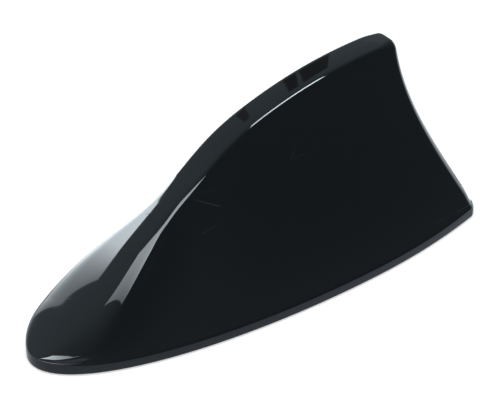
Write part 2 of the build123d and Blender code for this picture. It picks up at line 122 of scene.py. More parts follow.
# Fineness of the fin's mesh and of the curves that it follows
ROWS = 220
NOSE_CROWDING = 2.0
TOP_STEPS = 8
SHOULDER_STEPS = 10
FLANK_STEPS = 40
EDGE_STEPS = 6
RIM_STEPS = 90
ROUNDING_STEPS = 8
HOLLOW_ROWS = ROWS // 4
HOLLOW_STRIDE = 2
BOSS_STEPS = 32
RIDGE_SAMPLES = 6000
TAIL_SAMPLES = 600
TAIL_ROUNDS = 60

# Points nearer than the seam, in metres, are joined, and edges past the angle, in degrees, stay sharp
SEAM = 1e-7
SHARP_ANGLE = 40.0

# Where the hairlines of the polish lie, in metres
SCRATCH_SHIFT = (0.0644, -0.017, -0.0244)

# Studio: levels of light as a strength, places in metres and degrees
WHITE = (1.0, 1.0, 1.0)
FILL = 0.2
FLOOR_RADIUS = 0.5
FLOOR_SIDES = 96
FLOOR_GAP = 0.0001
FLOOR_COLOUR = (0.85, 0.85, 0.85)
FLOOR_LIFT = 0.5
CLOTH_RADIUS = 1.6
CLOTH_SUBDIVISIONS = 4
CLOTH_COLOUR = (0.8, 1.0, 1.11)
CLOTH_GLOW = (0.15, 0.6)
CLOTH_BRIGHT_SIDE = (-0.5, 0.87, 0.0)
LAMPS = [
    dict(name="top_lamp", place=(-0.2, -0.3, 1.2), size=0.9, power=9.0),
    dict(name="side_lamp", place=(-1.0, -0.8, 0.7), size=0.7, power=4.0),
]

# Glowing sheet that paints the floor's pool of light for the gloss: margin round the rim and reach in
# millimetres, glow on the near side, dimmed as painted shade, and on the far side
SHEET_MARGIN = 7.0
SHEET_REACH = 160.0
SHEET_ARC = (-12.0, 172.0)
SHEET_ARC_POINTS = 60
SHEET_RIM_STEPS = 30
SHEET_COLOUR = (0.9, 1.0, 1.13)
SHEET_GLOW = (0.58, 1.2)

# Lit cards and dark flags, each square to its facing, which is an azimuth and an elevation
CARD_STEPS = 40
CARD_COLOUR = (0.9, 1.0, 1.06)
RIDGE_MIRROR = (52.0, 37.0)
CARDS = [
    dict(
        name="far_card",
        facing=(110.0, 10.0),
        distance=0.10,
        corners=[(-0.9, -0.6), (0.3, -0.6), (0.68, 0.66), (0.32, 0.83)],
        glow=[0.8, 1.5, 9.0, 13.0],
        border=(0.3, 0.5),
    ),
    dict(
        name="near_card",
        facing=(-126.9, 44.1),
        distance=0.09,
        corners=[(-0.9, 0.22), (-0.16, -0.25), (0.25, -0.04), (-0.92, 0.68)],
        glow=[3.4, 2.0, 9.5, 6.5],
    ),
    dict(
        name="nose_card",
        facing=(-150.0, 20.0),
        distance=0.3,
        corners=[(-0.85, -0.5), (0.42, -0.44), (0.02, -0.2), (-0.42, -0.06)],
        glow=[14.0, 4.0, 4.0, 12.0],
    ),
    dict(
        name="ridge_card",
        facing=(-128.0, 55.0),
        distance=1.0,
        corners=[(0.36, 0.14), (0.85, 0.45), (0.5, 0.85), (0.02, 0.58)],
        glow=[14.0, 24.0, 24.0, 14.0],
    ),
    dict(
        name="tail_card",
        facing=(-8.0, -8.0),
        distance=0.6,
        corners=[(-0.66, -0.4), (0.6, -0.4), (0.6, 0.52), (-0.14, 0.52)],
        glow=[1.5, 4.0, 4.0, 1.5],
    ),
    dict(
        name="apex_card",
        facing=RIDGE_MIRROR,
        distance=1.0,
        corners=[(-0.08, -0.1), (-0.15, -0.25), (-0.4, 0.05), (-0.17, 0.0)],
        glow=0.5,
    ),
    dict(
        name="front_flag",
        facing=RIDGE_MIRROR,
        distance=1.0,
        corners=[(0.43, 0.26), (0.36, 0.18), (0.35, 0.38), (0.4, 0.42)],
        glow=0.2,
    ),
    dict(
        name="middle_flag",
        facing=RIDGE_MIRROR,
        distance=1.0,
        corners=[(0.19, 0.08), (0.14, 0.04), (0.11, 0.26), (0.15, 0.29)],
        glow=0.12,
    ),
    dict(
        name="rear_flag",
        facing=RIDGE_MIRROR,
        distance=1.0,
        corners=[(0.13, 0.04), (0.02, -0.05), (0.0, 0.14), (0.09, 0.24)],
        glow=0.13,
    ),
]

# Kinds of ray that pass a piece which only the gloss shows
GLOSS_ONLY = ("camera", "diffuse", "transmission", "shadow")

# Camera, solved on the photograph's outline: place in metres, focal length in the photograph's pixels
VIEW_AZIMUTH = math.radians(-38.35)
VIEW_ELEVATION = math.radians(36.86)
VIEW_DISTANCE = 0.7925
VIEW_TARGET = Vector((0.00485, 0.0, 0.02227))
FOCAL_PIXELS = 2501.0
PHOTO_WIDTH = 500.0
SENSOR_WIDTH = 36.0


def hermite_spline(points, samples):
    """Smooth curve through points, spaced by chord, with ends as a cubic through four points gives."""
    points = np.array(points)
    t = np.concatenate([[0.0], np.cumsum(np.linalg.norm(np.diff(points, axis=0), axis=1))])
    step = np.diff(t)
    count = len(t)
    matrix = np.zeros((count, count))
    right = np.zeros((count, 2))
    for row, part in ((0, slice(0, 4)), (count - 1, slice(count - 4, count))):
        matrix[row, row] = 1.0
        for axis in (0, 1):
            cubic = np.polyfit(t[part], points[part, axis], 3)
            right[row, axis] = np.polyval(np.polyder(cubic), t[row])
    for row in range(1, count - 1):
        before, after = step[row - 1], step[row]
        matrix[row, row - 1:row + 2] = (1 / before, 2 / before + 2 / after, 1 / after)
        right[row] = 3 * (points[row] - points[row - 1]) / before**2
        right[row] += 3 * (points[row + 1] - points[row]) / after**2
    slopes = np.linalg.solve(matrix, right)
    wanted = np.linspace(0, t[-1], samples)
    span = np.clip(np.searchsorted(t, wanted, side="right") - 1, 0, count - 2)
    width = step[span][:, None]
    s = ((wanted - t[span]) / step[span])[:, None]
    curve = (2 * s**3 - 3 * s**2 + 1) * points[span] + (s**3 - 2 * s**2 + s) * width * slopes[span]
    return curve + (3 * s**2 - 2 * s**3) * points[span + 1] + (s**3 - s**2) * width * slopes[span + 1]


def bezier(points, t):
    """Point or points of a Bezier curve, of any degree, at parameter t."""
    degree = len(points) - 1
    return sum(math.comb(degree, i) * t**i * (1 - t) ** (degree - i) * p for i, p in enumerate(points))


def on_circle(angles):
    """Points at angles of a circle of radius one."""
    return np.stack([np.cos(angles), np.sin(angles)], axis=-1)


# Ridge line in side view
ridge_run = APEX - RIM_LEDGE
ridge_rise = HEIGHT - RIM_TOP
ridge_points = [(0.0, RIM_TOP)]
ridge_points += [(RIM_LEDGE + a * ridge_run, RIM_TOP + b * ridge_rise) for a, b in RIDGE_SHAPE]
ridge_points += [(APEX, HEIGHT)]
ridge_curve = hermite_spline(ridge_points, RIDGE_SAMPLES)

# Arcs of the plan outline, along each side behind the widest place and across the tail
side_run = LENGTH - TAIL_BULGE - WIDEST
side_draw = WIDTH / 2 - TAIL_WIDTH / 2
side_radius = (side_run**2 + side_draw**2) / (WIDTH - TAIL_WIDTH)
tail_radius = ((TAIL_WIDTH / 2) ** 2 + TAIL_BULGE**2) / (2 * TAIL_BULGE)


def ridge_height(distance):
    """Level of the ridge line at a distance."""
    return np.interp(distance, ridge_curve[:, 0], ridge_curve[:, 1])


def half_width(distance, inset):
    """Half width of the plan outline moved in by an inset."""
    run = distance - WIDEST
    reach = WIDTH / 2 - inset
    nose = reach * np.sqrt(np.maximum(0.0, 1 - (run / (WIDEST - inset)) ** 2))
    radius = side_radius - inset
    tail = reach - radius + np.sqrt(np.maximum(0.0, radius**2 - run**2))
    return np.where(run <= 0, nose, tail)


def blend(pair, distance, reach=NOSE_BLEND):
    """First value up to a distance of nothing, fading smoothly to the second at the end of its reach."""
    share = np.clip(distance / reach, 0.0, 1.0)
    share = 1 - share * share * (3 - 2 * share)
    return pair[0] * share + pair[1] * (1 - share)


def skin_inset(distance):
    """How far the outer skin's foot stands in from the rim: flush with it at the nose."""
    return blend((0.0, SKIN_INSET), distance, NOSE_FLUSH)


def section_points(distance, side_wall, top_wall, inset):
    """Control points (y, z) of half a section: three of the shoulder, then three more for the flank."""
    top = ridge_height(distance) - top_wall
    outer_foot = half_width(distance, skin_inset(distance) if inset is None else inset)
    lean = np.radians(blend(FLANK_ANGLE, distance))
    flare = np.radians(blend(FOOT_ANGLE, distance))
    foot = outer_foot - side_wall / np.sin(flare)
    corner = blend((NOSE_CAP_SHARE * outer_foot, RIDGE_HALF_WIDTH), distance)
    corner = corner + top_wall / np.tan(lean) - side_wall / np.sin(lean)
    chord = np.hypot(foot - corner, top - RIM_TOP)
    apex_rounding = blend((APEX_ROUNDING, 0.0), APEX - distance, APEX_REACH)
    rounding = blend(SHOULDER, distance, SHOULDER_BLEND) + apex_rounding
    most = np.minimum(ROUNDING_WIDTH_SHARE * corner, ROUNDING_CHORD_SHARE * chord)
    setback = np.minimum(rounding, most)
    crown_edge = corner - setback
    start_z = top - crown_edge**2 / (2 * CROWN_RADIUS)
    bend_z = start_z - crown_edge / CROWN_RADIUS * setback
    end_y = corner + setback * np.cos(lean)
    end_z = bend_z - setback * np.sin(lean)
    reach = np.hypot(foot - end_y, end_z - RIM_TOP)
    pull = (end_y + FLANK_PULL * reach * np.cos(lean), end_z - FLANK_PULL * reach * np.sin(lean))
    push = (foot - FOOT_PULL * reach * np.cos(flare), RIM_TOP + FOOT_PULL * reach * np.sin(flare))
    rim = np.full_like(foot, RIM_TOP)
    pairs = [(crown_edge, start_z), (corner, bend_z), (end_y, end_z), pull, push, (foot, rim)]
    return [np.stack(pair, axis=-1) for pair in pairs]


def section_place(distance, share, side_wall=0.0, top_wall=0.0, inset=None):
    """Points (y, z) at one share of the half section: 0 to 1 along its top, to 2 shoulder, to 3 flank."""
    points = section_points(distance, side_wall, top_wall, inset)
    if share <= 1:
        edge = points[0][..., 0]
        rise = (edge**2 - (share * edge) ** 2) / (2 * CROWN_RADIUS)
        return np.stack([share * edge, points[0][..., 1] + rise], axis=-1)
    if share <= 2:
        return bezier(points[:3], share - 1)
    return bezier(points[2:], share - 2)


section_shares = np.concatenate([
    np.linspace(0, 1, TOP_STEPS + 1),
    np.linspace(1, 2, SHOULDER_STEPS + 1)[1:],
    np.linspace(2, 3, FLANK_STEPS + 1)[1:],
])


def tail_line(level, wall=0.0):
    """Distance of the tail face, or of its inner face, at a level."""
    apex = np.array([APEX - wall, HEIGHT])
    foot = np.array([TAIL_FOOT - wall, RIM_TOP + TAIL_SKIRT])
    upper = apex - np.array([TAIL_LEAN, TAIL_UPPER_DROP])
    lower = foot + np.array([-TAIL_LOWER_RUN, TAIL_LOWER_RISE])
    curve = bezier([apex, upper, lower, foot], np.linspace(0, 1, TAIL_SAMPLES)[:, None])
    return np.interp(level, curve[::-1, 1], curve[::-1, 0])


def tail_end(share, side_wall=0.0, top_wall=0.0, inset=None):
    """Distance at which one lengthwise line of the fin meets the tail face."""
    distance = np.array([APEX])
    for _ in range(TAIL_ROUNDS):
        level = section_place(distance, share, side_wall, top_wall, inset)[:, 1]
        distance = (distance + tail_line(level, top_wall)) / 2
    return float(distance[0])


def lengthwise(start, end, rows):
    """Distances from start to end, crowded at the nose."""
    return start + (end - start) * np.linspace(0, 1, rows + 1) ** NOSE_CROWDING


def in_space(distance, places):
    """Distances and (y, z) places as points, nose at minus half the length."""
    return np.stack([distance - LENGTH / 2, places[..., 0], places[..., 1]], axis=-1)


def both_sides(half):
    """Columns of a half section, mirrored to the other side: rows, columns, xyz."""
    other = half[:, :0:-1].copy()
    other[..., 1] *= -1
    return np.concatenate([other, half], axis=1)


class MeshBuilder:
    """Collects grids of points as one mesh, in millimetres."""

    def __init__(self):
        self.points = []
        self.faces = []

    def grid(self, block, flip=False, wrap=False):
        """Faces between rows of points, turned over or closed from the last column to the first."""
        rows, columns = block.shape[:2]
        first = sum(len(p) for p in self.points)
        self.points.append(block.reshape(-1, 3))
        for i in range(rows - 1):
            for j in range(columns if wrap else columns - 1):
                k = (j + 1) % columns
                a, b = first + i * columns + j, first + i * columns + k
                c, d = b + columns, a + columns
                self.faces.append((a, b, c, d) if flip else (a, d, c, b))

    def across(self, line, top_steps, flip=False):
        """Face across the fin between a line down its half section and the mirrored line."""
        rows = [both_sides(line[None, :top_steps + 1])[0]]
        for x, y, z in line[top_steps + 1:]:
            sides = np.linspace(-y, y, 2 * top_steps + 1)
            rows.append(np.stack([np.full_like(sides, x), sides, np.full_like(sides, z)], axis=-1))
        self.grid(np.array(rows), flip=flip)

    def build(self, name, bridged_level=None):
        """Mesh with its seams joined, open loops at one level bridged, smooth but for its true edges."""
        mesh = bpy.data.meshes.new(name)
        mesh.from_pydata((np.concatenate(self.points) * MM).tolist(), [], self.faces)
        shape = bmesh.new()
        shape.from_mesh(mesh)
        bmesh.ops.remove_doubles(shape, verts=shape.verts, dist=SEAM)
        bmesh.ops.dissolve_degenerate(shape, edges=shape.edges, dist=SEAM)
        if bridged_level is not None:
            level = MM * bridged_level
            open_edges = [edge for edge in shape.edges if edge.is_boundary]
            loops = [edge for edge in open_edges if all(abs(v.co.z - level) < SEAM for v in edge.verts)]
            bmesh.ops.bridge_loops(shape, edges=loops)
            bmesh.ops.recalc_face_normals(shape, faces=shape.faces)
        shape.to_mesh(mesh)
        shape.free()
        mesh.shade_smooth()
        mesh.set_sharp_from_angle(angle=math.radians(SHARP_ANGLE))
        return mesh


def outline(inset_levels, steps):
    """Closed plan outline at each level, moved in by an inset, another at the nose: rows, points, xyz."""
    side_centre = np.array([WIDEST, WIDTH / 2 - side_radius])
    tail_centre = np.array([LENGTH - tail_radius, 0.0])
    reach_side = side_radius - TAIL_CORNER
    reach_tail = tail_radius - TAIL_CORNER
    between = side_centre - tail_centre
    gap = np.hypot(*between)
    along = (reach_tail**2 - reach_side**2 + gap**2) / (2 * gap)
    across = math.sqrt(reach_tail**2 - along**2)
    unit = between / gap
    square = np.array([-unit[1], unit[0]])
    corners = [tail_centre + along * unit + side * across * square for side in (1, -1)]
    corner = max(corners, key=lambda place: place[1])
    side_angle = math.atan2(*(corner - side_centre)[::-1])
    tail_angle = math.atan2(*(corner - tail_centre)[::-1])

    def arc(centre, radius, first, last, count):
        return centre + radius * on_circle(np.linspace(first, last, count, endpoint=False))

    nose_centre = np.array([WIDEST, 0.0])
    nose_reach = np.array([WIDEST, WIDTH / 2])
    upper = np.concatenate([
        arc(tail_centre, tail_radius, 0.0, tail_angle, steps // 2),
        arc(corner, TAIL_CORNER, tail_angle, side_angle, steps // 2),
        arc(side_centre, side_radius, side_angle, math.pi / 2, steps),
        arc(nose_centre, nose_reach, math.pi / 2, math.pi, 2 * steps),
    ])
    tip = np.array([[0.0, 0.0]])
    lower = upper[:0:-1] * np.array([1.0, -1.0])
    line = np.concatenate([upper, tip, lower])
    ahead = np.roll(line, -1, axis=0) - np.roll(line, 1, axis=0)
    ahead /= np.linalg.norm(ahead, axis=1)[:, None]
    inward = np.stack([-ahead[:, 1], ahead[:, 0]], axis=-1)
    rows = []
    for inset, nose_inset, level in inset_levels:
        moved = line + blend((nose_inset, inset), line[:, :1], NOSE_FLUSH) * inward
        levels = np.full(len(line), level)
        rows.append(np.column_stack([moved[:, 0] - LENGTH / 2, moved[:, 1], levels]))
    return np.array(rows)


def ceiling(x, y):
    """Level of the hollow's skin above a place in plan."""
    distance = np.array([x + LENGTH / 2])
    line = np.array([section_place(distance, share, **HOLLOW)[0] for share in section_shares])
    return float(np.interp(abs(y), line[:, 0], line[:, 1]))


def add_skin(builder):
    """Outer skin, stopped short of the tail, then the tail's rounded edge and its face."""
    ends = np.array([tail_end(share) for share in section_shares])
    feet = np.array([section_place(np.array([e]), s)[0] for e, s in zip(ends, section_shares)])
    rounding = np.interp(feet[:, 1], (RIM_TOP, HEIGHT), TAIL_EDGE)
    half = []
    for share, end, setback in zip(section_shares, ends, rounding):
        distance = lengthwise(0.0, end - setback, ROWS)
        half.append(in_space(distance, section_place(distance, share)))
    skin = np.stack(half, axis=1)
    builder.grid(both_sides(skin))

    # From the skin round the corner line to the tail face
    corner = in_space(ends, feet)
    above = np.clip((feet[:, 1] - RIM_TOP) / TAIL_EDGE_FADE, 0.0, 1.0)
    inward = np.stack([np.gradient(feet[:, 1]), -np.gradient(feet[:, 0]) * above], axis=-1)
    inward /= np.linalg.norm(inward, axis=1)[:, None]
    inner = feet + rounding[:, None] * inward
    inner[:, 0] = np.where(section_shares <= 0, 0.0, inner[:, 0])
    face_line = in_space(tail_line(inner[:, 1]), inner)
    steps = np.linspace(0, 1, EDGE_STEPS + 1)
    edge = np.array([bezier([skin[-1], corner, face_line], t) for t in steps])
    builder.grid(both_sides(edge))
    builder.across(face_line, TOP_STEPS)


def add_rim(builder):
    """Rim, all round: rounding below the flank's foot, wall, foot and inner wall."""
    profile = [(RIM_WALL, RIM_WALL, RIM_TOP)]
    for t in np.linspace(0, 1, ROUNDING_STEPS + 1):
        level = bezier([RIM_TOP, RIM_TOP - SKIN_INSET, RIM_TOP - RIM_ROUNDING_DROP], t)
        profile.append((SKIN_INSET * (1 - t) ** 2, 0.0, level))
    for angle in np.linspace(0, math.pi / 2, ROUNDING_STEPS + 1):
        inset = RIM_FOOT_ROUNDING * (1 - math.cos(angle))
        profile.append((inset, inset, RIM_BOTTOM + RIM_FOOT_ROUNDING * (1 - math.sin(angle))))
    profile += [(RIM_WALL, RIM_WALL, RIM_BOTTOM), (RIM_WALL, RIM_WALL, RIM_TOP)]
    builder.grid(outline(profile, RIM_STEPS), wrap=True)


def add_hollow(builder):
    """Hollow under the fin: its skin and its two ends."""
    half = []
    for share in section_shares[::HOLLOW_STRIDE]:
        distance = lengthwise(CAVITY_START, tail_end(share, **HOLLOW), HOLLOW_ROWS)
        half.append(in_space(distance, section_place(distance, share, **HOLLOW)))
    hollow = np.stack(half, axis=1)
    top_steps = TOP_STEPS // HOLLOW_STRIDE
    builder.grid(both_sides(hollow), flip=True)
    builder.across(hollow[0], top_steps)
    builder.across(hollow[-1], top_steps, flip=True)


def add_boss(builder, distance, side):
    """Screw boss from its foot into the hollow's skin, with a pilot hole."""
    centre = np.array([distance - LENGTH / 2, side])
    circle = on_circle(np.linspace(0, 2 * math.pi, BOSS_STEPS, endpoint=False))
    top = np.array([ceiling(*place) + BOSS_BITE for place in centre + BOSS_RADIUS * circle])
    profile = [
        (0.0, top.max()),
        (BOSS_RADIUS, top),
        (BOSS_RADIUS, BOSS_FOOT),
        (PILOT_RADIUS, BOSS_FOOT),
        (PILOT_RADIUS, BOSS_FOOT + PILOT_DEPTH),
        (0.0, BOSS_FOOT + PILOT_DEPTH),
    ]
    rings = []
    for radius, level in profile:
        rings.append(np.column_stack([centre + radius * circle, np.broadcast_to(level, BOSS_STEPS)]))
    builder.grid(np.array(rings), wrap=True)


def fin_mesh():
    """The fin cover as one fine mesh: outer skin, rounded tail, rim, inner skin and screw bosses."""
    builder = MeshBuilder()
    add_skin(builder)
    add_rim(builder)
    add_hollow(builder)
    add_boss(builder, NOSE_SCREW, 0.0)
    for distance in SIDE_SCREWS:
        reach = float(half_width(distance, SCREW_INSET))
        for side in (-reach, reach):
            add_boss(builder, distance, side)
    return builder.build("fin_skin", bridged_level=RIM_TOP)


def new_object(name, data):
    """Object of that name, linked to the scene."""
    made = bpy.data.objects.new(name, data)
    bpy.context.scene.collection.objects.link(made)
    return made


fin = new_object("fin_skin", fin_mesh())


def feed(tree, value, socket):
    """Sets a socket to a number, or links another socket to it."""
    if isinstance(value, (int, float)):
        socket.default_value = value
    else:
        tree.links.new(value, socket)


def combined(tree, operation, first, second):
    """Sum or product of two values, kept between 0 and 1."""
    made = tree.nodes.new("ShaderNodeMath")
    made.operation = operation
    made.use_clamp = True
    feed(tree, first, made.inputs[0])
    feed(tree, second, made.inputs[1])
    return made.outputs["Value"]


def ranged(tree, factor, low, high, start, end):
    """Factor read between start and end as a value from low to high."""
    made = tree.nodes.new("ShaderNodeMapRange")
    tree.links.new(factor, made.inputs["Value"])
    for name, value in (("From Min", start), ("From Max", end), ("To Min", low), ("To Max", high)):
        made.inputs[name].default_value = value
    return made.outputs["Result"]


class Finish:
    """A node material whose colour, roughness and relief vary over the surface."""

    def __init__(self, name, metallic=0.0):
        self.material = bpy.data.materials.new(name)
        self.material.use_nodes = True
        self.tree = self.material.node_tree
        self.shader = self.tree.nodes["Principled BSDF"]
        self.shader.inputs["Metallic"].default_value = metallic
        self.place = self.tree.nodes.new("ShaderNodeTexCoord").outputs["Object"]

    def node(self, kind, links=(), **values):
        """New node with some inputs linked to sockets and others set."""
        made = self.tree.nodes.new(kind)
        for name, socket in links:
            self.tree.links.new(socket, made.inputs[name])
        for name, value in values.items():
            made.inputs[name].default_value = value
        return made

    def stretched(self, stretch, shift=(0, 0, 0)):
        """Place on the object, shifted and then scaled along each axis."""
        moved = [a * b for a, b in zip(shift, stretch)]
        made = self.node("ShaderNodeMapping", [("Vector", self.place)], Scale=stretch, Location=moved)
        return made.outputs["Vector"]

    def noise(self, scale, detail=4.0, stretch=(1, 1, 1), shift=(0, 0, 0)):
        links = [("Vector", self.stretched(stretch, shift))]
        return self.node("ShaderNodeTexNoise", links, Scale=scale, Detail=detail).outputs["Fac"]

    def cells(self, scale, feature="F1", stretch=(1, 1, 1), shift=(0, 0, 0)):
        links = [("Vector", self.stretched(stretch, shift))]
        made = self.node("ShaderNodeTexVoronoi", links, Scale=scale)
        made.feature = feature
        return made.outputs["Distance"]

    def span(self, factor, low, high, start=0.3, end=0.7):
        return ranged(self.tree, factor, low, high, start, end)

    def product(self, first, second):
        return combined(self.tree, "MULTIPLY", first, second)

    def colours(self, factor, first, second, start=0.3, end=0.7):
        """Blend of two colours by a factor that varies over the surface, read between start and end."""
        made = self.node("ShaderNodeValToRGB", [("Fac", factor)])
        for stop, position, colour in zip(made.color_ramp.elements, (start, end), (first, second)):
            stop.position = position
            stop.color = (*colour, 1)
        return made.outputs["Color"]

    def relief(self, height, depth, below=None):
        """Bump of a height, over another bump if given."""
        links = [("Height", height)] + ([("Normal", below)] if below else [])
        return self.node("ShaderNodeBump", links, Distance=depth).outputs["Normal"]

    def set(self, colour, roughness, normal):
        """The material, with what varies over its surface linked to its shader."""
        for name, socket in (("Base Color", colour), ("Roughness", roughness), ("Normal", normal)):
            self.tree.links.new(socket, self.shader.inputs[name])
        return self.material


def gloss_plastic(name, black, scratched):
    """Polished black moulding: faint ripples and smears, and a few hairline scratches."""
    look = Finish(name)
    look.shader.inputs["IOR"].default_value = 1.5
    smears = look.noise(scale=55, detail=6.0)
    edges = look.cells(scale=38, feature="DISTANCE_TO_EDGE", stretch=(0.5, 1.0, 1.6), shift=SCRATCH_SHIFT)
    hairlines = look.span(edges, low=1.0, high=0.0, start=0.0, end=0.004)
    patches = look.noise(scale=30, shift=SCRATCH_SHIFT)
    worn = look.span(patches, low=0.0, high=1.0, start=0.62, end=0.68)
    marks = look.product(hairlines, worn)
    ripples = look.relief(look.noise(scale=70, detail=1.0), depth=0.00002)
    return look.set(
        colour=look.colours(marks, black, scratched, start=0.0, end=1.0),
        roughness=look.span(smears, low=0.02, high=0.07),
        normal=look.relief(marks, depth=-0.00001, below=ripples),
    )


def matte_plastic(name, dark, light):
    """Spark-eroded moulding: fine even grain, a little paler where it is rubbed."""
    look = Finish(name)
    grain = look.noise(scale=2600, detail=2.0)
    return look.set(
        colour=look.colours(look.noise(scale=120), dark, light),
        roughness=look.span(grain, low=0.48, high=0.7),
        normal=look.relief(grain, depth=0.00008),
    )


def rubber(name, dark, light):
    """Dull moulded rubber with a bloom on it."""
    look = Finish(name)
    bloom = look.noise(scale=300, detail=5.0)
    return look.set(
        colour=look.colours(bloom, dark, light),
        roughness=look.span(bloom, low=0.62, high=0.85),
        normal=look.relief(look.noise(scale=1800), depth=0.00005),
    )


def foam(name, dark, light):
    """Closed-cell foam: cells about half a millimetre across."""
    look = Finish(name)
    cells = look.cells(scale=2200)
    return look.set(
        colour=look.colours(cells, dark, light, start=0.1, end=0.6),
        roughness=look.span(cells, low=0.95, high=0.75),
        normal=look.relief(cells, depth=-0.00025),
    )


def laminate(name, mask, track):
    """Board under green solder mask, with tracks that show through it."""
    look = Finish(name)
    edges = look.cells(scale=420, feature="DISTANCE_TO_EDGE", stretch=(0.6, 1.0, 0.0))
    tracks = look.span(edges, low=1.0, high=0.0, start=0.06, end=0.09)
    weave = look.noise(scale=3500, detail=2.0)
    return look.set(
        colour=look.colours(tracks, mask, track, start=0.0, end=1.0),
        roughness=look.span(weave, low=0.28, high=0.42),
        normal=look.relief(weave, depth=0.00002, below=look.relief(tracks, depth=0.00004)),
    )


def sheet_metal(name, dark, light, stretch=(0.06, 1.0, 1.0)):
    """Rolled sheet or drawn metal: fine lines along the way it was worked."""
    look = Finish(name, metallic=1.0)
    lines = look.noise(scale=2600, detail=3.0, stretch=stretch)
    stains = look.noise(scale=160, detail=5.0)
    return look.set(
        colour=look.colours(stains, dark, light),
        roughness=look.span(lines, low=0.22, high=0.4),
        normal=look.relief(lines, depth=0.00002),
    )


def speckled(name, dark, light, rough=(0.4, 0.6)):
    """Pressed or fired body with a grain of two tones."""
    look = Finish(name)
    grain = look.noise(scale=1500, detail=6.0)
    return look.set(
        colour=look.colours(grain, dark, light, start=0.4, end=0.62),
        roughness=look.span(grain, *rough),
        normal=look.relief(grain, depth=0.00003),
    )


# Kind of finish of each material slot, and the two colours that it varies between
finish_colours = {
    "gloss_black_plastic": (gloss_plastic, (0.0032, 0.0038, 0.0047), (0.022, 0.025, 0.028)),
    "matte_black_plastic": (matte_plastic, (0.018, 0.018, 0.02), (0.03, 0.03, 0.032)),
    "seal_rubber": (rubber, (0.016, 0.016, 0.017), (0.032, 0.032, 0.032)),
    "pad_foam": (foam, (0.03, 0.03, 0.031), (0.065, 0.065, 0.066)),
    "board_laminate": (laminate, (0.012, 0.09, 0.035), (0.03, 0.17, 0.06)),
    "tinned_sheet": (sheet_metal, (0.55, 0.55, 0.53), (0.68, 0.68, 0.66)),
    "brass_sheet": (sheet_metal, (0.62, 0.45, 0.18), (0.76, 0.58, 0.27)),
    "copper_wire": (sheet_metal, (0.6, 0.25, 0.12), (0.76, 0.36, 0.2)),
    "chip_epoxy": (speckled, (0.014, 0.014, 0.016), (0.03, 0.03, 0.032)),
    "chip_ceramic": (speckled, (0.36, 0.26, 0.15), (0.48, 0.37, 0.24)),
    "choke_ferrite": (speckled, (0.04, 0.04, 0.043), (0.08, 0.08, 0.085)),
    "can_aluminium": (sheet_metal, (0.66, 0.66, 0.68), (0.78, 0.78, 0.8)),
    "holder_plastic": (matte_plastic, (0.66, 0.64, 0.57), (0.76, 0.74, 0.68)),
    "zinc_steel": (sheet_metal, (0.52, 0.53, 0.56), (0.66, 0.67, 0.7)),
}

# What else sets a finish apart: how its lines run, or how rough it is
finish_details = {
    "copper_wire": dict(stretch=(1, 1, 0.1)),
    "chip_epoxy": dict(rough=(0.5, 0.7)),
    "choke_ferrite": dict(rough=(0.45, 0.7)),
    "can_aluminium": dict(stretch=(1, 1, 0.05)),
    "zinc_steel": dict(stretch=(1, 1, 0.2)),
}

finishes = {}
for name, (make, dark, light) in finish_colours.items():
    finishes[name] = make(name, dark, light, **finish_details.get(name, {}))
for part in frame["record"]["subparts"]:
    node = frame["nodes"][part["node"]]
    node.data.materials.clear()
    node.data.materials.append(finishes[part["material_slot"]])
fin.data.materials.append(finishes["gloss_black_plastic"])
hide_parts("fin_cover")
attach(fin, "root")


def seen_rays(tree):
    """One for rays from the camera, mirrors and glass, nothing for the rest."""
    path = tree.nodes.new("ShaderNodeLightPath")
    total = path.outputs["Is Camera Ray"]
    for name in ("Is Glossy Ray", "Is Transmission Ray"):
        total = combined(tree, "ADD", total, path.outputs[name])
    return total


def mixed(tree, factor, first, second):
    """First shader where the factor is 0, second where it is 1."""
    made = tree.nodes.new("ShaderNodeMixShader")
    for socket, place in zip((factor, first, second), made.inputs):
        tree.links.new(socket, place)
    return made.outputs["Shader"]


def glowing(tree, colour, strength):
    """Light of a colour, its strength a number or a socket."""
    made = tree.nodes.new("ShaderNodeEmission")
    made.inputs["Color"].default_value = (*colour, 1)
    feed(tree, strength, made.inputs["Strength"])
    return made.outputs["Emission"]


def painted_glow(tree, mesh, values):
    """Strength read from values at the mesh's own points."""
    mesh.attributes.new("glow", "FLOAT", "POINT").data.foreach_set("value", values.astype(np.float32))
    reading = tree.nodes.new("ShaderNodeAttribute")
    reading.attribute_name = "glow"
    return reading.outputs["Fac"]


def stage_piece(name, mesh, hidden_from):
    """Piece of the studio, unseen by the kinds of ray that are named, with its nodes and its surface."""
    made = new_object(name, mesh)
    for kind in hidden_from:
        setattr(made, "visible_" + kind, False)
    material = bpy.data.materials.new(name)
    material.use_nodes = True
    mesh.materials.append(material)
    tree = material.node_tree
    tree.nodes.clear()
    return tree, tree.nodes.new("ShaderNodeOutputMaterial").inputs["Surface"]


# World: white to look at, a low even fill for the rest
world = bpy.data.worlds.new("studio")
bpy.context.scene.world = world
world.use_nodes = True
tree = world.node_tree
fill = tree.nodes["Background"]
fill.inputs["Strength"].default_value = FILL
white = tree.nodes.new("ShaderNodeBackground")
for background in (fill, white):
    background.inputs["Color"].default_value = (*WHITE, 1)
seen = mixed(tree, seen_rays(tree), fill.outputs["Background"], white.outputs["Background"])
tree.links.new(seen, tree.nodes["World Output"].inputs["Surface"])

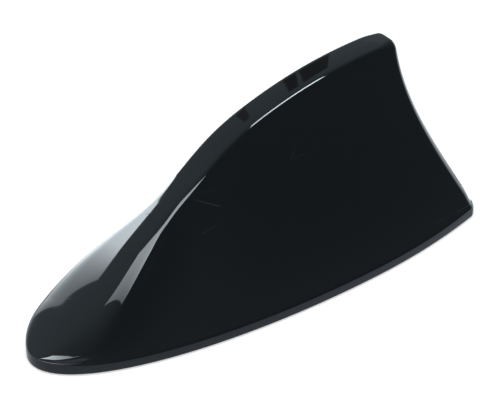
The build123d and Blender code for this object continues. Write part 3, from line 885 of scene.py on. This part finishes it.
# Floor: pale, lifted to white where it is looked at, open from below
floor_mesh = bpy.data.meshes.new("floor")
shape = bmesh.new()
bmesh.ops.create_circle(shape, cap_ends=True, segments=FLOOR_SIDES, radius=FLOOR_RADIUS)
bmesh.ops.translate(shape, verts=shape.verts, vec=(0, 0, -FLOOR_GAP))
shape.to_mesh(floor_mesh)
shape.free()
tree, surface = stage_piece("floor", floor_mesh, ("glossy",))
paint = tree.nodes.new("ShaderNodeBsdfDiffuse")
paint.inputs["Color"].default_value = (*FLOOR_COLOUR, 1)
lift = glowing(tree, WHITE, combined(tree, "MULTIPLY", seen_rays(tree), FLOOR_LIFT))
lit = tree.nodes.new("ShaderNodeAddShader")
tree.links.new(paint.outputs["BSDF"], lit.inputs[0])
tree.links.new(lift, lit.inputs[1])
below = tree.nodes.new("ShaderNodeNewGeometry").outputs["Backfacing"]
clear = tree.nodes.new("ShaderNodeBsdfTransparent").outputs["BSDF"]
tree.links.new(mixed(tree, below, lit.outputs["Shader"], clear), surface)

# Painted pool of floor light that only the gloss shows: close along the near side, wide behind the
# object, dimmer on the near side as painted shade
rim_line = outline([(-SHEET_MARGIN, -SHEET_MARGIN, 0.0)], SHEET_RIM_STEPS)[0]
near_line = rim_line[rim_line[:, 1] < 0]
far_arc = SHEET_REACH * on_circle(np.radians(np.linspace(*SHEET_ARC, SHEET_ARC_POINTS)))
far_line = np.column_stack([far_arc, np.zeros(SHEET_ARC_POINTS)])
sheet_points = np.concatenate([far_line, near_line]) * MM
sheet_mesh = bpy.data.meshes.new("painted_floor_light")
sheet_mesh.from_pydata(sheet_points.tolist(), [], [list(range(len(sheet_points)))])
# Painted shade: the near side glows less, where the object shades the floor, the far side more
sheet_glow = np.where(sheet_points[:, 1] < 0, *SHEET_GLOW)
tree, surface = stage_piece("painted_floor_light", sheet_mesh, GLOSS_ONLY)
tree.links.new(glowing(tree, SHEET_COLOUR, painted_glow(tree, sheet_mesh, sheet_glow)), surface)

# Dim cloth round the studio, which only the gloss shows, paler behind the object
cloth_mesh = bpy.data.meshes.new("cloth")
shape = bmesh.new()
bmesh.ops.create_icosphere(shape, subdivisions=CLOTH_SUBDIVISIONS, radius=CLOTH_RADIUS)
shape.to_mesh(cloth_mesh)
shape.free()
tree, surface = stage_piece("cloth", cloth_mesh, GLOSS_ONLY)
towards = tree.nodes.new("ShaderNodeVectorMath")
towards.operation = "DOT_PRODUCT"
towards.inputs[1].default_value = CLOTH_BRIGHT_SIDE
tree.links.new(tree.nodes.new("ShaderNodeTexCoord").outputs["Object"], towards.inputs[0])
cloth_glow = ranged(tree, towards.outputs["Value"], *CLOTH_GLOW, start=-CLOTH_RADIUS, end=CLOTH_RADIUS)
tree.links.new(glowing(tree, CLOTH_COLOUR, cloth_glow), surface)


def card(name, facing, distance, corners, glow, border=(1.0, 1.0)):
    """Lit card that only the gloss shows, its corners across and up as shares of its distance.

    It glows evenly, or between its corners' strengths.
    These then fall to a share of themselves, over a reach, at its second edge.
    """
    azimuth, elevation = (math.radians(v) for v in facing)
    ahead = np.array([
        math.cos(azimuth) * math.cos(elevation),
        math.sin(azimuth) * math.cos(elevation),
        math.sin(elevation),
    ])
    across = np.array([-math.sin(azimuth), math.cos(azimuth), 0.0])
    up = np.cross(ahead, across)
    s, t = np.meshgrid(np.linspace(0, 1, CARD_STEPS), np.linspace(0, 1, CARD_STEPS))
    shares = np.stack([(1 - s) * (1 - t), s * (1 - t), s * t, (1 - s) * t], axis=-1)
    flat = shares @ np.array(corners)
    builder = MeshBuilder()
    builder.grid(distance / MM * (ahead + flat[..., :1] * across + flat[..., 1:] * up))
    mesh = builder.build(name)
    tree, surface = stage_piece(name, mesh, GLOSS_ONLY)
    if isinstance(glow, list):
        edge_share, reach = border
        rise = edge_share + (1 - edge_share) * np.clip((1 - s) / reach, 0.0, 1.0)
        glow = painted_glow(tree, mesh, (shares @ np.array(glow) * rise).ravel())
    tree.links.new(glowing(tree, CARD_COLOUR, glow), surface)


for values in CARDS:
    card(**values)


def soft_lamp(name, place, size, power):
    """Square lamp, turned to the object and unseen in the gloss."""
    lamp = new_object(name, bpy.data.lights.new(name, "AREA"))
    lamp.data.shape = "SQUARE"
    lamp.data.size = size
    lamp.data.energy = power
    lamp.location = place
    lamp.rotation_mode = "QUATERNION"
    lamp.rotation_quaternion = (-Vector(place)).to_track_quat("-Z", "Y")
    lamp.visible_glossy = False


for values in LAMPS:
    soft_lamp(**values)

# Camera at the photograph's angle
camera = new_object("camera", bpy.data.cameras.new("camera"))
bpy.context.scene.camera = camera
back = Vector((
    math.sin(VIEW_AZIMUTH) * math.cos(VIEW_ELEVATION),
    -math.cos(VIEW_AZIMUTH) * math.cos(VIEW_ELEVATION),
    math.sin(VIEW_ELEVATION),
))
camera.location = VIEW_TARGET + back * VIEW_DISTANCE
camera.rotation_mode = "QUATERNION"
camera.rotation_quaternion = (-back).to_track_quat("-Z", "Y")
camera.data.sensor_fit = "HORIZONTAL"
camera.data.sensor_width = SENSOR_WIDTH
camera.data.lens = FOCAL_PIXELS / PHOTO_WIDTH * SENSOR_WIDTH
bpy.context.scene.view_settings.view_transform = "Standard"
